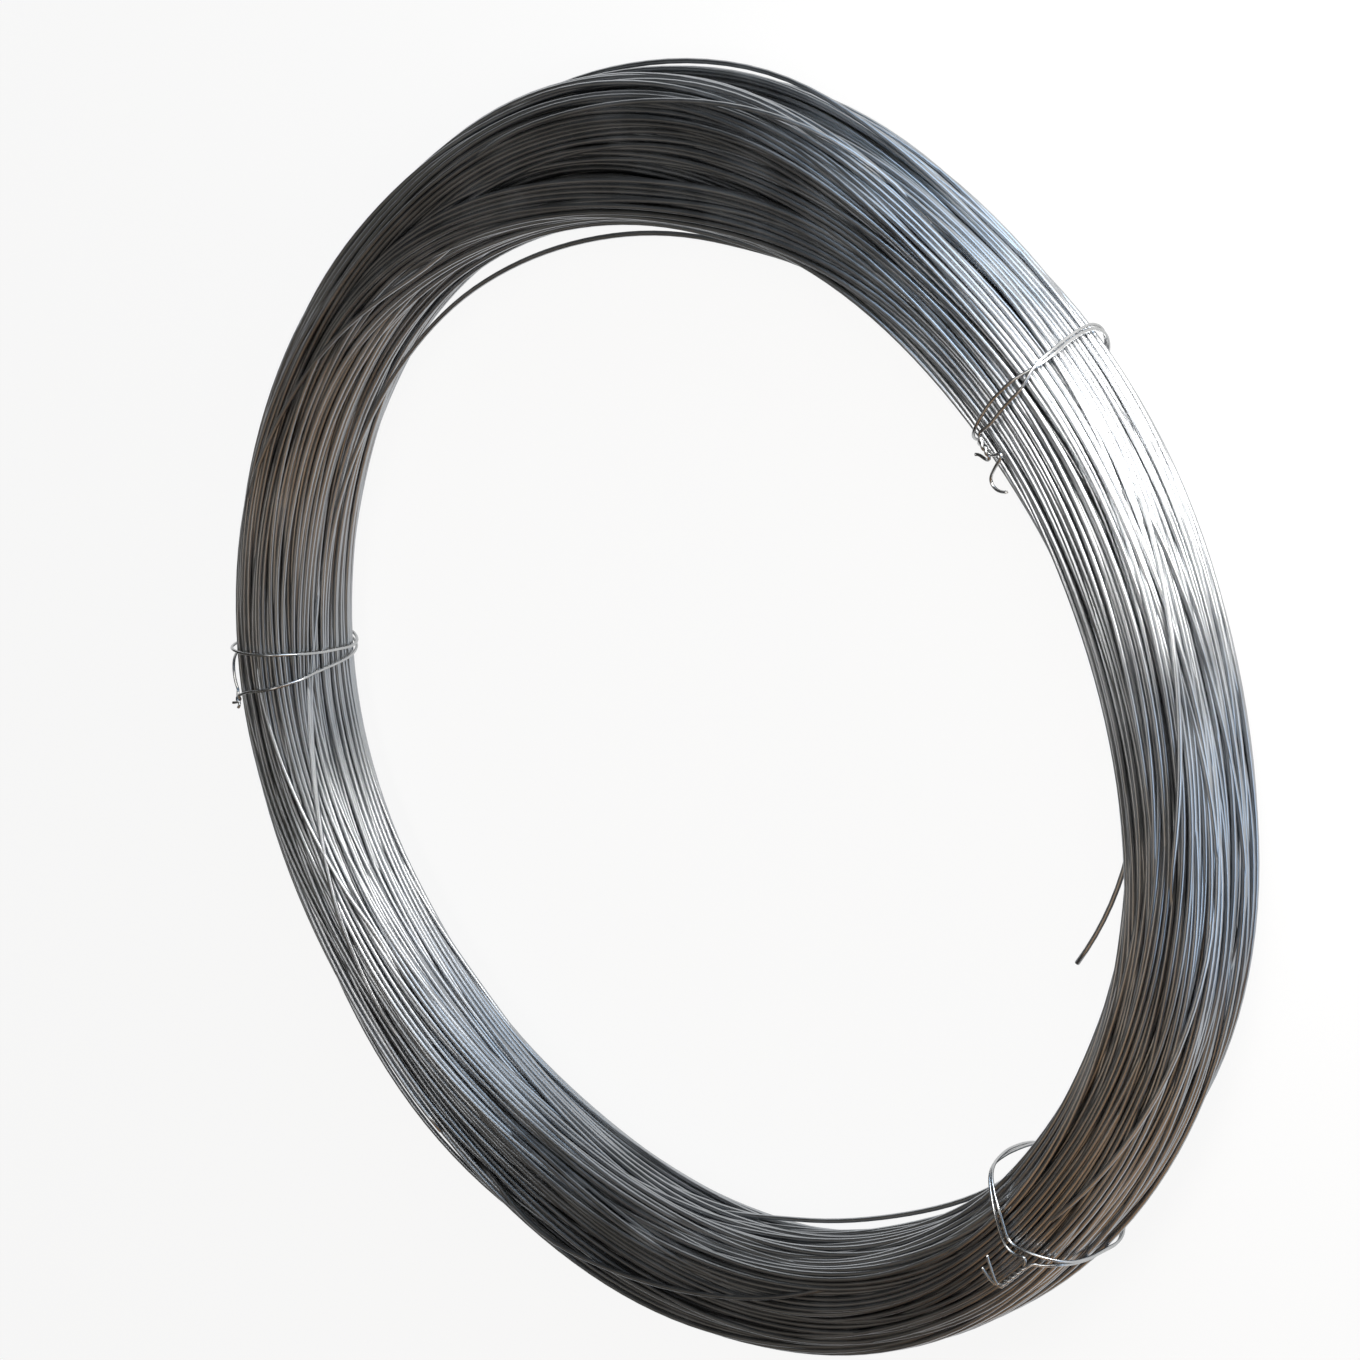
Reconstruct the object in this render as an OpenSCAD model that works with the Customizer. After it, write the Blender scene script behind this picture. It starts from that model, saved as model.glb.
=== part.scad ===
// Coil of high-tensile wire, lying flat: one length of wire wound in many turns,
// bound by three double-wrapped tie wires with twisted ends.
// The coil's axis is Z, and the part rests on z = 0. Sizes are in mm.

/* [Wire] */
// Diameter of the high-tensile wire
wire_d = 2.5; // [1.6:0.1:4]

/* [Coil] */
// Clear diameter of the coil's eye
eye_d = 506; // [380:1:640]
// Radial thickness of the bundle of turns
bundle_w = 54; // [44:1:80]
// Height of the bundle along the coil's axis
bundle_h = 62; // [50:1:90]
// Corner radius of the bundle's section
bundle_corner = 19; // [12:1:21]
// Share of the wire's diameter from one outer turn to the next
lay_pitch = 0.97; // [0.9:0.01:0.98]

/* [Loose strands] */
// Bend radius of the free end, which springs into the eye
end_bend = 100; // [70:1:140]
// Angle of the coil at which the free end leaves the bundle
end_angle = 247; // [240:1:260]
// Angle that the free end bends through
end_sweep = 52; // [40:1:60]
// Height of the free end
end_height = 34; // [28:0.5:40]
// How far the slack inner turn hangs into the eye
inner_slack = 13; // [8:0.5:16]
// Angle of the coil at which the inner turn is slackest
inner_slack_angle = 352; // [340:1:365]
// Height of the slack inner turn
inner_slack_height = 33; // [26:0.5:40]
// How far the slack outer turn springs out of the bundle
outer_slack = 9; // [6:0.5:12]
// Angle of the coil at which the outer turn is slackest
outer_slack_angle = 335; // [325:1:345]
// Height of the slack outer turn
outer_slack_height = 32; // [26:0.5:40]
// Angle to each side over which a slack turn leaves the bundle
slack_reach = 45; // [35:1:60]

/* [Tie wires] */
// Diameter of the soft tie wire
tie_d = 1.5; // [1.2:0.1:2]
// Gap between a tie and the turns that it holds
tie_gap = 0.3; // [0.2:0.05:0.5]
// Angle of the coil at which the first tie sits
tie_1_angle = 287; // [282:1:300]
// Distance between the first tie's two wraps
tie_1_spread = 5; // [4:0.5:9]
// Angle of the coil at which the second tie sits
tie_2_angle = 69; // [60:1:80]
// Distance between the second tie's two wraps, where they are furthest apart
tie_2_spread = 21; // [14:0.5:28]
// Angle of the coil at which the third tie sits
tie_3_angle = 203; // [195:1:215]
// Distance between the third tie's two wraps
tie_3_spread = 4; // [4:0.5:9]
// How far the slack third tie stands off the bundle at its inner edge
tie_3_stand_off = 12; // [0:0.5:16]
// Length of one full turn of a tie's twisted ends
twist_pitch = 8; // [7:0.5:12]
// Number of half turns in a tie's twisted ends
twist_half_turns = 4; // [3:1:6]
// Length of each tail past the twist
tail_len = 7; // [4:0.5:10]

/* [Hidden] */
$fn = 96;

wire_r = wire_d / 2;
tie_r = tie_d / 2;
eye_r = eye_d / 2;
outer_r = eye_r + bundle_w;
mean_r = eye_r + bundle_w / 2;
// The ties pass under the bundle, so it lies this far above the floor
bundle_z = tie_d + tie_gap + bundle_h / 2;

// Length of a rounded rectangle of half sizes hx and hy with corners of radius c
function outline_len(hx, hy, c) = 4 * (hx - c) + 4 * (hy - c) + 2 * PI * c;

// Point and outward normal, [x, y, nx, ny], at s along that outline's first quarter
function quarter_point(hx, hy, c, s) =
    let (rise = hy - c, bend = PI * c / 2)
    s < rise ? [hx, s, 1, 0]
    : s > rise + bend ? [hx - c - (s - rise - bend), hy, 0, 1]
    : let (a = (s - rise) / c * 180 / PI)
      [hx - c + c * cos(a), hy - c + c * sin(a), cos(a), sin(a)];

// The same at s along the whole outline, which starts at the middle of its outer side
// and runs over the top; each quarter is a mirror image of the one before
function outline_point(hx, hy, c, s) =
    let (
        quarter = outline_len(hx, hy, c) / 4,
        wrapped = s - 4 * quarter * floor(s / (4 * quarter)),
        k = min(3, floor(wrapped / quarter)),
        along = wrapped - k * quarter,
        p = quarter_point(hx, hy, c, k % 2 == 0 ? along : quarter - along),
        sx = (k == 0 || k == 3) ? 1 : -1,
        sy = k < 2 ? 1 : -1
    )
    [sx * p[0], sy * p[1], sx * p[2], sy * p[3]];

// Centres of the turns that show on the bundle's surface
lay_hx = bundle_w / 2 - wire_r;
lay_hy = bundle_h / 2 - wire_r;
lay_c = bundle_corner - wire_r;
lay_len = outline_len(lay_hx, lay_hy, lay_c);
lay_count = ceil(lay_len / (lay_pitch * wire_d));
// Each packed turn's section has this many sides
turn_sides = 12;
lay_centres = [
    for (i = [0:lay_count - 1])
    let (p = outline_point(lay_hx, lay_hy, lay_c, i * lay_len / lay_count))
    [p[0], p[1]]
];

// Section of the bundle: packed turns, ridged all round by the outermost ones
module bundle_section() {
    polygon(lay_centres);
    for (p = lay_centres) translate(p) circle(r = wire_r, $fn = turn_sides);
}

// Level arc of wire from the angle 0 to the given one
module strand(radius, sweep) {
    rotate_extrude(angle = sweep)
        translate([radius, 0])
            circle(r = wire_r);
}

// The wire's end, which leaves the inside of the bundle and curls into the eye
module free_end() {
    rotate([0, 0, end_angle])
        translate([eye_r + wire_r - end_bend, 0, end_height])
            rotate([0, 0, -end_sweep])
                strand(end_bend, end_sweep);
}

// A turn bent flatter than the rest, which hangs into the eye between two contacts
module inner_slack_turn() {
    shift = (inner_slack + wire_d) / (1 - cos(slack_reach));
    radius = eye_r - inner_slack + shift;
    contact_r = eye_r + wire_d;
    half = acos((shift * shift + radius * radius - contact_r * contact_r) / (2 * shift * radius));
    rotate([0, 0, inner_slack_angle])
        translate([-shift, 0, inner_slack_height])
            rotate([0, 0, -half])
                strand(radius, 2 * half);
}

// A turn bent tighter than the rest, which springs out of the bundle between two contacts
module outer_slack_turn() {
    shift = (outer_slack + wire_d) / (1 - cos(slack_reach));
    radius = outer_r + outer_slack - shift;
    contact_r = outer_r - wire_d;
    half = acos((contact_r * contact_r - shift * shift - radius * radius) / (2 * shift * radius));
    rotate([0, 0, outer_slack_angle])
        translate([shift, 0, outer_slack_height])
            rotate([0, 0, -half])
                strand(radius, 2 * half);
}

module wire_coil() {
    color("slategray") union() {
        translate([0, 0, bundle_z])
            rotate_extrude()
                translate([mean_r, 0])
                    bundle_section();
        free_end();
        inner_slack_turn();
        outer_slack_turn();
    }
}

// Outline that a tie's centre line follows round the bundle
tie_hx = bundle_w / 2 + tie_gap + tie_r;
tie_hy = bundle_h / 2 + tie_gap + tie_r;
tie_c = bundle_corner + tie_gap + tie_r;
tie_len = outline_len(tie_hx, tie_hy, tie_c);
// Distance between two strands that pass or twist round each other
strand_step = 1.2 * tie_d;
// Length over which a strand turns from its wrap into the twist
tie_lead = 3 * tie_d;
wrap_steps = 96;
twist_steps = 8;
tie_sides = 8;

// Each tie: [angle, way its twist runs, place of its twist, place of its crossing,
// reach of its crossing, spread, stand-off], places being shares of the outline
tie_1 = [tie_1_angle, -1, 0.37, 0.87, 0.14, tie_1_spread, 0];
tie_2 = [tie_2_angle, 1, 0.13, 0.62, 0.5, tie_2_spread, 0];
tie_3 = [tie_3_angle, -1, 0.19, 0.62, 0.14, tie_3_spread, tie_3_stand_off];

function eased(u) = (1 - cos(180 * max(0, min(1, u)))) / 2;

// Share of the crossing that is done at the place t of a wrap, which runs from 0 to 1
function crossed(tie, t) = eased((t - (tie[3] - tie[2]) + tie[4]) / (2 * tie[4]));

// Offset along the coil, at the place t of the two wraps, which run from 0 to 2
function wrap_slide(tie, t) =
    strand_step / 2 * (1 - t) - tie[5] * (t < 1 ? crossed(tie, t) : 1 - crossed(tie, t - 1));

// Rise off the bundle: the second wrap rides over the first, and a slack tie stands off
function wrap_lift(tie, t) =
    let (
        apart = t < 1 ? strand_step : wrap_slide(tie, t - 1) - wrap_slide(tie, t),
        ride = sqrt(max(0, strand_step * strand_step - apart * apart)),
        place = (t < 1 ? t : t - 1) + tie[2],
        slack = tie[6] * pow(cos(90 * min(1, abs(place - 0.4) / 0.13)), 2)
    )
    ride + slack;

// Route of a tie as [distance round the outline, offset along the coil, rise]
function twist_route(tie, side) = [
    for (i = [0:twist_half_turns * twist_steps / 2])
    let (a = 90 * side + 360 * i / twist_steps)
    [
        strand_step / 2 * sin(a),
        tie_lead + twist_pitch * i / twist_steps,
        strand_step / 2 * (1 + cos(a))
    ]
];

function tail_route(tie, side) =
    let (
        way = side * (twist_half_turns % 2 == 0 ? 1 : -1),
        from = tie_lead + twist_pitch * twist_half_turns / 2
    )
    [
        for (share = [0.25, 0.5, 0.75, 1])
        [
            way * (strand_step / 2 + 0.6 * tail_len * share * share),
            from + tail_len * share * (1 - 0.25 * share),
            strand_step / 2 + 0.35 * tail_len * share * share
        ]
    ];

// Bend that joins the twist to the wrap, as a curve through one corner
function lead_route(tie, side) =
    let (
        from = [side * strand_step / 2, tie_lead, strand_step / 2],
        corner = [side * strand_step / 2, side * strand_step / 2, strand_step / 4],
        to = [side * tie_lead, side * strand_step / 2, 0]
    )
    [
        for (u = [0.2, 0.4, 0.6, 0.8])
        (1 - u) * (1 - u) * from + 2 * u * (1 - u) * corner + u * u * to
    ];

function wrap_route(tie) = [
    for (i = [0:wrap_steps])
    let (
        s = tie_lead + (2 * tie_len - 2 * tie_lead) * i / wrap_steps,
        t = s / tie_len
    )
    [s, wrap_slide(tie, t), wrap_lift(tie, t)]
];

function backwards(list) = [for (i = [len(list) - 1:-1:0]) list[i]];

function tie_route(tie) = concat(
    backwards(tail_route(tie, 1)),
    backwards(twist_route(tie, 1)),
    lead_route(tie, 1),
    wrap_route(tie),
    backwards(lead_route(tie, -1)),
    twist_route(tie, -1),
    tail_route(tie, -1)
);

// The route as points in space
function tie_point(tie, q) =
    let (
        p = outline_point(tie_hx, tie_hy, tie_c, tie[2] * tie_len + q[0]),
        angle = tie[0] + tie[1] * q[1] / mean_r * 180 / PI,
        r = mean_r + p[0] + q[2] * p[2]
    )
    [r * cos(angle), r * sin(angle), bundle_z + p[1] + q[2] * p[3]];

function unit(v) = v / norm(v);

// Round wire along a list of points, its rings carried along without twist
module swept_wire(points, radius, sides) {
    n = len(points);
    ahead = [
        for (i = [0:n - 1])
        unit(points[min(n - 1, i + 1)] - points[max(0, i - 1)])
    ];
    first = unit(cross(ahead[0], abs(ahead[0].z) < 0.9 ? [0, 0, 1] : [1, 0, 0]));
    across = [
        for (i = 0, u = first; i < n;
             i = i + 1, u = i < n ? unit(u - (u * ahead[i]) * ahead[i]) : u)
        u
    ];
    rings = [
        for (i = [0:n - 1], k = [0:sides - 1])
        let (a = 360 * k / sides)
        points[i] + radius * (cos(a) * across[i] + sin(a) * cross(ahead[i], across[i]))
    ];
    skin = [
        for (i = [0:n - 2], k = [0:sides - 1])
        let (m = (k + 1) % sides)
        [i * sides + k, (i + 1) * sides + k, (i + 1) * sides + m, i * sides + m]
    ];
    start_cap = [[for (k = [0:sides - 1]) k]];
    end_cap = [[for (k = [sides - 1:-1:0]) (n - 1) * sides + k]];
    polyhedron(rings, concat(skin, start_cap, end_cap), convexity = 10);
}

module tie_wire(tie) {
    swept_wire([for (q = tie_route(tie)) tie_point(tie, q)], tie_r, tie_sides);
}

module tie_wire_1() {
    color("silver") tie_wire(tie_1);
}

module tie_wire_2() {
    color("silver") tie_wire(tie_2);
}

module tie_wire_3() {
    color("silver") tie_wire(tie_3);
}

wire_coil();
tie_wire_1();
tie_wire_2();
tie_wire_3();
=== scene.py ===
"""Coil of high-tensile wire, lying flat and bound by three soft tie wires.

The coil is one galvanised wire wound in a few hundred turns. The turns are laid layer by layer,
wander in strands, and are then settled against each other inside the bundle's outline, so they
lie side by side and cross as real turns do. Lengths are in millimetres until a mesh is made.
"""

import logging
import math
from dataclasses import dataclass
from enum import Enum
from typing import Any

import bmesh
import bpy
import numpy as np
from mathutils import Matrix, Vector

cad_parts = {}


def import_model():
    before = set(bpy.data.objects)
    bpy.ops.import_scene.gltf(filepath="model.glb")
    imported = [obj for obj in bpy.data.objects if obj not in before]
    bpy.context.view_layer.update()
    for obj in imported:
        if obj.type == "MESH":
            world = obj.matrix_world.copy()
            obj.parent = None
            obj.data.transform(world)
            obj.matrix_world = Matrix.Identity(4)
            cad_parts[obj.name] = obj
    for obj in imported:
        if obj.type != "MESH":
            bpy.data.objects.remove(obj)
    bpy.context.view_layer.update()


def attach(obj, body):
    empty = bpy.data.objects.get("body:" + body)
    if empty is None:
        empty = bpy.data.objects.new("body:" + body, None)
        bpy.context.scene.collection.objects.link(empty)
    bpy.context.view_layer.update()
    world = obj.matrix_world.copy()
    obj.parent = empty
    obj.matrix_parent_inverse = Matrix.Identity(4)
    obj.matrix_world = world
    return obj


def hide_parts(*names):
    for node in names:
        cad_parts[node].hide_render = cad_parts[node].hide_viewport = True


LOG = logging.getLogger("wire_coil")
MM = 0.001
# Ring angle at which one turn gives way to the next, in degrees.
SEAM = 120.0
# Outward place of a turn that isn't there, well away from all that are.
FAR_OFF = 1e4

Array = np.ndarray
Place = tuple[float, float, float]


def linear(code: str) -> tuple[float, float, float, float]:
    """Turn an sRGB hex colour into linear light.

    Args:
        code: Six hex digits after a hash sign.

    Returns:
        Linear red, green, blue and a full alpha.
    """
    parts = [int(code[i:i + 2], 16) / 255 for i in (1, 3, 5)]
    lit = [p / 12.92 if p <= 0.04045 else ((p + 0.055) / 1.055) ** 2.4 for p in parts]
    return (lit[0], lit[1], lit[2], 1.0)


def add_node(tree: bpy.types.NodeTree, kind: str, settings: dict[str, Any], links: dict[str, Any]) -> Any:
    """Add a shader node with its settings and links.

    Args:
        tree: The material's node tree.
        kind: The node's type name.
        settings: Attributes of the node, or values of its inputs where the name is an input's.
        links: Output sockets by the name of the input that each feeds.

    Returns:
        The new node.
    """
    node = tree.nodes.new(kind)
    for name, value in settings.items():
        if name in node.inputs:
            node.inputs[name].default_value = value
        else:
            setattr(node, name, value)
    for name, output in links.items():
        tree.links.new(output, node.inputs[name])
    return node


def new_material(name: str) -> tuple[bpy.types.Material, bpy.types.NodeTree, Any]:
    """Start a material with nodes.

    Args:
        name: The material's name.

    Returns:
        The material, its node tree and its surface shader.
    """
    material = bpy.data.materials.new(name)
    material.use_nodes = True
    tree = material.node_tree
    shader = tree.nodes["Principled BSDF"]
    return material, tree, shader


def swell(angles: Array, centre: float, reach: float) -> Array:
    """Give a smooth rise round one place of the ring.

    Args:
        angles: Ring angles in degrees.
        centre: Angle of the rise's top.
        reach: Angle to each side at which it ends.

    Returns:
        Values from 0 to 1.
    """
    away = np.abs((angles - centre + 180.0) % 360.0 - 180.0)
    return np.cos(np.minimum(away / reach, 1.0) * math.pi / 2) ** 2


def smooth_step(part: Array) -> Array:
    """Ease values from 0 to 1 in and out."""
    return part * part * (3 - 2 * part)


def read_through(values: Array, at: Array) -> Array:
    """Read a row of evenly spaced values along the smooth curve through them.

    Args:
        values: The values, one step apart.
        at: Places to read, in steps.

    Returns:
        The values read.
    """
    low = np.floor(at).astype(int)
    part = at - low
    near = [values[np.clip(low + k, 0, len(values) - 1)] for k in (-1, 0, 1, 2)]
    bend = 3 * (near[1] - near[2]) + near[3] - near[0]
    bend = 2 * near[0] - 5 * near[1] + 4 * near[2] - near[3] + part * bend
    return near[1] + 0.5 * part * (near[2] - near[0] + part * bend)


@dataclass(frozen=True)
class ZincFinish:
    """Hot-dip galvanised drawn steel: a semi-bright grey metal with faint lines along the wire."""

    name: str
    dark: str
    light: str
    smooth: float
    rough: float
    line_width: float = 0.45
    line_length: float = 26.0
    line_strength: float = 0.12
    line_depth: float = 0.03
    patch: float = 30.0
    # Share of a wire's tone that is the same along its run.
    run_share: float = 0.45
    tone_span: tuple[float, float] = (0.25, 0.75)

    def material(self) -> bpy.types.Material:
        """Make the material, which reads each piece's own attributes.

        Returns:
            The material.
        """
        material, tree, shader = new_material(self.name)
        shader.inputs["Metallic"].default_value = 1.0
        lay = add_node(tree, "ShaderNodeAttribute", {"attribute_name": "wire_lay"}, {})
        turn = add_node(tree, "ShaderNodeAttribute", {"attribute_name": "turn_tint"}, {})
        # Drawing lines are far finer than this; they are as wide as they need to be to show.
        across = 1.0 / (self.line_width * MM)
        along = 1.0 / (self.line_length * MM)
        stretch = add_node(tree, "ShaderNodeMapping", {"Scale": (across, across, along)},
                           {"Vector": lay.outputs["Vector"]})
        lines = add_node(tree, "ShaderNodeTexNoise", {"Scale": 1.0, "Detail": 2.0, "Roughness": 0.55},
                         {"Vector": stretch.outputs["Vector"]})
        place = add_node(tree, "ShaderNodeTexCoord", {}, {})
        # Zinc cools in dull and bright patches a few centimetres long.
        patches = add_node(tree, "ShaderNodeTexNoise",
                           {"Scale": 1.0 / (self.patch * MM), "Detail": 3.0, "Roughness": 0.6},
                           {"Vector": place.outputs["Object"]})
        tone = add_node(tree, "ShaderNodeMix", {"data_type": "FLOAT", "Factor": self.run_share}, {})
        tree.links.new(patches.outputs["Fac"], tone.inputs[2])
        tree.links.new(turn.outputs["Fac"], tone.inputs[3])
        ramp = add_node(tree, "ShaderNodeValToRGB", {}, {"Fac": tone.outputs[0]})
        for stop, at, colour in zip(ramp.color_ramp.elements, self.tone_span, (self.dark, self.light)):
            stop.position = at
            stop.color = linear(colour)
        tree.links.new(ramp.outputs["Color"], shader.inputs["Base Color"])
        dull = add_node(tree, "ShaderNodeMapRange",
                        {"From Min": 0.3, "From Max": 0.7, "To Min": self.smooth, "To Max": self.rough},
                        {"Value": patches.outputs["Fac"]})
        tree.links.new(dull.outputs["Result"], shader.inputs["Roughness"])
        relief = add_node(tree, "ShaderNodeBump",
                          {"Strength": self.line_strength, "Distance": self.line_depth * MM},
                          {"Height": lines.outputs["Fac"]})
        tree.links.new(relief.outputs["Normal"], shader.inputs["Normal"])
        return material


@dataclass(frozen=True)
class Wire:
    """A round wire: its thickness, the roundness of its mesh, and how far apart runs lie in the finish."""

    diameter: float
    bevel_steps: int
    run_gap: float = 50.0

    @property
    def sides(self) -> int:
        """Number of sides of the mesh."""
        return 4 + 2 * self.bevel_steps

    def mesh(self, name: str, runs: list[Array], tints: list[float]) -> bpy.types.Object:
        """Make one mesh of round wire along several runs of points.

        Args:
            name: The piece's name.
            runs: Points of each run, in millimetres.
            tints: One number from 0 to 1 for each run, which varies its shade.

        Returns:
            The piece, with an attribute that follows the wire and one for its shade.
        """
        curve = bpy.data.curves.new(name, "CURVE")
        curve.dimensions = "3D"
        curve.bevel_depth = self.diameter / 2 * MM
        curve.bevel_resolution = self.bevel_steps
        curve.twist_mode = "MINIMUM"
        for run in runs:
            spline = curve.splines.new("POLY")
            spline.points.add(len(run) - 1)
            spline.points.foreach_set("co", np.c_[run * MM, np.ones(len(run))].ravel())
            spline.use_smooth = True
        holder = bpy.data.objects.new(name + "_path", curve)
        bpy.context.scene.collection.objects.link(holder)
        graph = bpy.context.evaluated_depsgraph_get()
        mesh = bpy.data.meshes.new_from_object(holder.evaluated_get(graph))
        bpy.data.objects.remove(holder)
        bpy.data.curves.remove(curve)
        mesh.name = name
        self._mark(mesh, runs, tints)
        self._close(mesh)
        piece = bpy.data.objects.new(name, mesh)
        bpy.context.scene.collection.objects.link(piece)
        return piece

    @staticmethod
    def _close(mesh: bpy.types.Mesh) -> None:
        """Close the cut ends of the wire with flat faces.

        Args:
            mesh: The mesh, open at its ends.
        """
        shape = bmesh.new()
        shape.from_mesh(mesh)
        rims = [edge for edge in shape.edges if edge.is_boundary]
        ends = bmesh.ops.holes_fill(shape, edges=rims, sides=0)["faces"]
        for face in ends:
            face.smooth = False
        shape.to_mesh(mesh)
        shape.free()

    def _mark(self, mesh: bpy.types.Mesh, runs: list[Array], tints: list[float]) -> None:
        """Write the place along and round the wire, and its shade, to each point of the mesh.

        Args:
            mesh: The mesh made from the runs, ring by ring.
            runs: Points of each run, in millimetres.
            tints: One shade for each run.
        """
        spin = np.arange(self.sides) * 2 * math.pi / self.sides
        ring = np.c_[np.cos(spin), np.sin(spin)] * self.diameter / 2
        lays = []
        shades = []
        start = 0.0
        for run, tint in zip(runs, tints):
            steps = np.linalg.norm(np.diff(run, axis=0), axis=1)
            along = start + np.r_[0.0, np.cumsum(steps)]
            start = along[-1] + self.run_gap
            lay = np.zeros((len(run), self.sides, 3))
            lay[:, :, :2] = ring[None]
            lay[:, :, 2] = along[:, None]
            lays.append(lay.reshape(-1, 3))
            shades.append(np.full(len(run) * self.sides, tint))
        lay_all = np.concatenate(lays) * MM
        if len(lay_all) != len(mesh.vertices):
            raise ValueError(f"{mesh.name}: {len(mesh.vertices)} points, {len(lay_all)} expected")
        mark = mesh.attributes.new("wire_lay", "FLOAT_VECTOR", "POINT")
        mark.data.foreach_set("vector", lay_all.ravel())
        shade = mesh.attributes.new("turn_tint", "FLOAT", "POINT")
        shade.data.foreach_set("value", np.concatenate(shades))


class Side(Enum):
    """The two sides of the bundle."""

    INNER = -1
    OUTER = 1


@dataclass
class BundleSection:
    """Outline of the bundle's section: a rounded box, uneven round the ring and drawn in at the ties."""

    mean_radius: float = 280.0
    middle: float = 32.8
    half_width: float = 27.0
    half_height: float = 31.0
    corner: float = 19.0
    # Ring angle, and distance of the inner and the outer side from the mean radius.
    inner: tuple[tuple[float, float], ...] = (
        (12.0, -27.0), (36.0, -25.0), (72.0, -17.5), (84.0, -21.5), (100.0, -29.5), (128.0, -35.0),
        (156.0, -31.0), (170.0, -27.5), (205.0, -27.0), (240.0, -24.5), (262.0, -26.5), (300.0, -30.0),
        (325.0, -38.5), (348.0, -34.0))
    outer: tuple[tuple[float, float], ...] = (
        (12.0, 21.5), (38.0, 23.5), (52.0, 25.5), (96.0, 28.0), (121.0, 38.0), (145.0, 33.0),
        (158.0, 28.5), (180.0, 29.0), (208.0, 27.0), (228.0, 25.5), (252.0, 22.5), (262.0, 22.5),
        (276.0, 28.5), (289.0, 31.0), (299.0, 29.5), (324.0, 41.0), (350.0, 34.5))
    edge_rounding: int = 30
    # Where the bundle is wider than usual, it lies lower.
    flattening: float = 0.3
    tie_angles: tuple[float, ...] = (287.0, 66.0, 201.0)
    # Drop of the bundle between ties, and the angle over which each tie holds it up.
    sag: float = 1.4
    tie_reach: float = 24.0
    # Depth, count round the section, turns round the ring and phase of the hollows between strands.
    lumps: tuple[tuple[float, int, int, float], ...] = (
        (1.2, 5, 2, 0.4), (1.1, 8, -1, 2.0), (0.8, 3, -3, 1.0))
    # The same for narrow grooves, how narrow they are, and the angle over which each tie closes both.
    grooves: tuple[tuple[float, int, int, float], ...] = ((3.0, 13, 1, 4.8), (2.6, 10, -1, 3.6))
    groove_power: int = 4
    hollow_reach: float = 26.0

    def __post_init__(self) -> None:
        """Read both sides at every degree of the ring."""
        self.lines = {Side.INNER: self._rounded(self.inner), Side.OUTER: self._rounded(self.outer)}

    def _rounded(self, places: tuple[tuple[float, float], ...]) -> Array:
        """Join the places of a side and round off the joins.

        Args:
            places: Ring angle and distance of each.

        Returns:
            The distance at every degree.
        """
        at, out = np.array(places).T
        line = np.interp(np.arange(360.0), at, out, period=360.0)
        for _ in range(self.edge_rounding):
            line += 0.25 * (np.roll(line, 1) + np.roll(line, -1) - 2 * line)
        return line

    def edge(self, angles: Array, side: Side) -> Array:
        """Give the place of one side of the bundle from the mean radius, by ring angle."""
        return np.interp(angles, np.arange(360.0), self.lines[side], period=360.0)

    def sizes(self, angles: Array) -> tuple[Array, Array, Array, Array]:
        """Give the section's half sizes and its middle.

        Args:
            angles: Ring angles in degrees.

        Returns:
            Half width, half height, outward shift and upward shift, each by angle.
        """
        inner = self.edge(angles, Side.INNER)
        outer = self.edge(angles, Side.OUTER)
        wide = (outer - inner) / 2
        tall = self.half_height * np.minimum(1.0, (self.half_width / wide) ** self.flattening)
        lift = tall - self.half_height - self.sag
        for tie in self.tie_angles:
            lift = lift + self.sag * swell(angles, tie, self.tie_reach)
        return wide, tall, (outer + inner) / 2, lift

    def overrun(self, angles: Array, u: Array, v: Array, inset: float) -> tuple[Array, Array, Array]:
        """Measure how far points of the section lie outside the outline.

        Args:
            angles: Ring angle of each column.
            u: Outward place of each point.
            v: Upward place of each point.
            inset: Distance that the outline is drawn in by.

        Returns:
            Signed distance, and the outward and upward parts of the outline's normal.
        """
        wide, tall, out, lift = self.sizes(angles)
        x = u - out
        y = v - lift
        over_x = np.abs(x) - (wide - self.corner)
        over_y = np.abs(y) - (tall - self.corner)
        far_x = np.maximum(over_x, 0.0)
        far_y = np.maximum(over_y, 0.0)
        far = np.hypot(far_x, far_y)
        away = far + np.minimum(np.maximum(over_x, over_y), 0.0) - self.corner + inset
        round_part = far > 1e-9
        safe = np.maximum(far, 1e-9)
        side = over_x > over_y
        nx = np.where(round_part, far_x / safe, side) * np.sign(x)
        ny = np.where(round_part, far_y / safe, ~side) * np.sign(y)
        return away + self._hollow(angles, x, y), nx, ny

    def surface(self, angles: Array, ways: Array, inset: Array) -> tuple[Array, Array]:
        """Find the outline in a direction from the section's middle.

        Args:
            angles: Ring angles in degrees.
            ways: Direction at each, in degrees: 0 is outward and 90 is up.
            inset: Depth under the outline at each.

        Returns:
            Outward and upward place of each point.
        """
        wide, tall, out, lift = self.sizes(angles)
        bend = self.corner - inset
        flat_x = wide - self.corner
        flat_y = tall - self.corner
        x = np.abs(np.cos(np.radians(ways)))
        y = np.abs(np.sin(np.radians(ways)))
        # The ray leaves through the side, through the top or through the corner's arc.
        lean = flat_x * x + flat_y * y
        arc = lean + np.sqrt(np.maximum(lean ** 2 - flat_x ** 2 - flat_y ** 2 + bend ** 2, 0.0))
        side = (flat_x + bend) / np.maximum(x, 1e-6)
        top = (flat_y + bend) / np.maximum(y, 1e-6)
        far = np.where(side * y < flat_y, side, np.where(top * x < flat_x, top, arc))
        return out + far * np.cos(np.radians(ways)), lift + far * np.sin(np.radians(ways))

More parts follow.
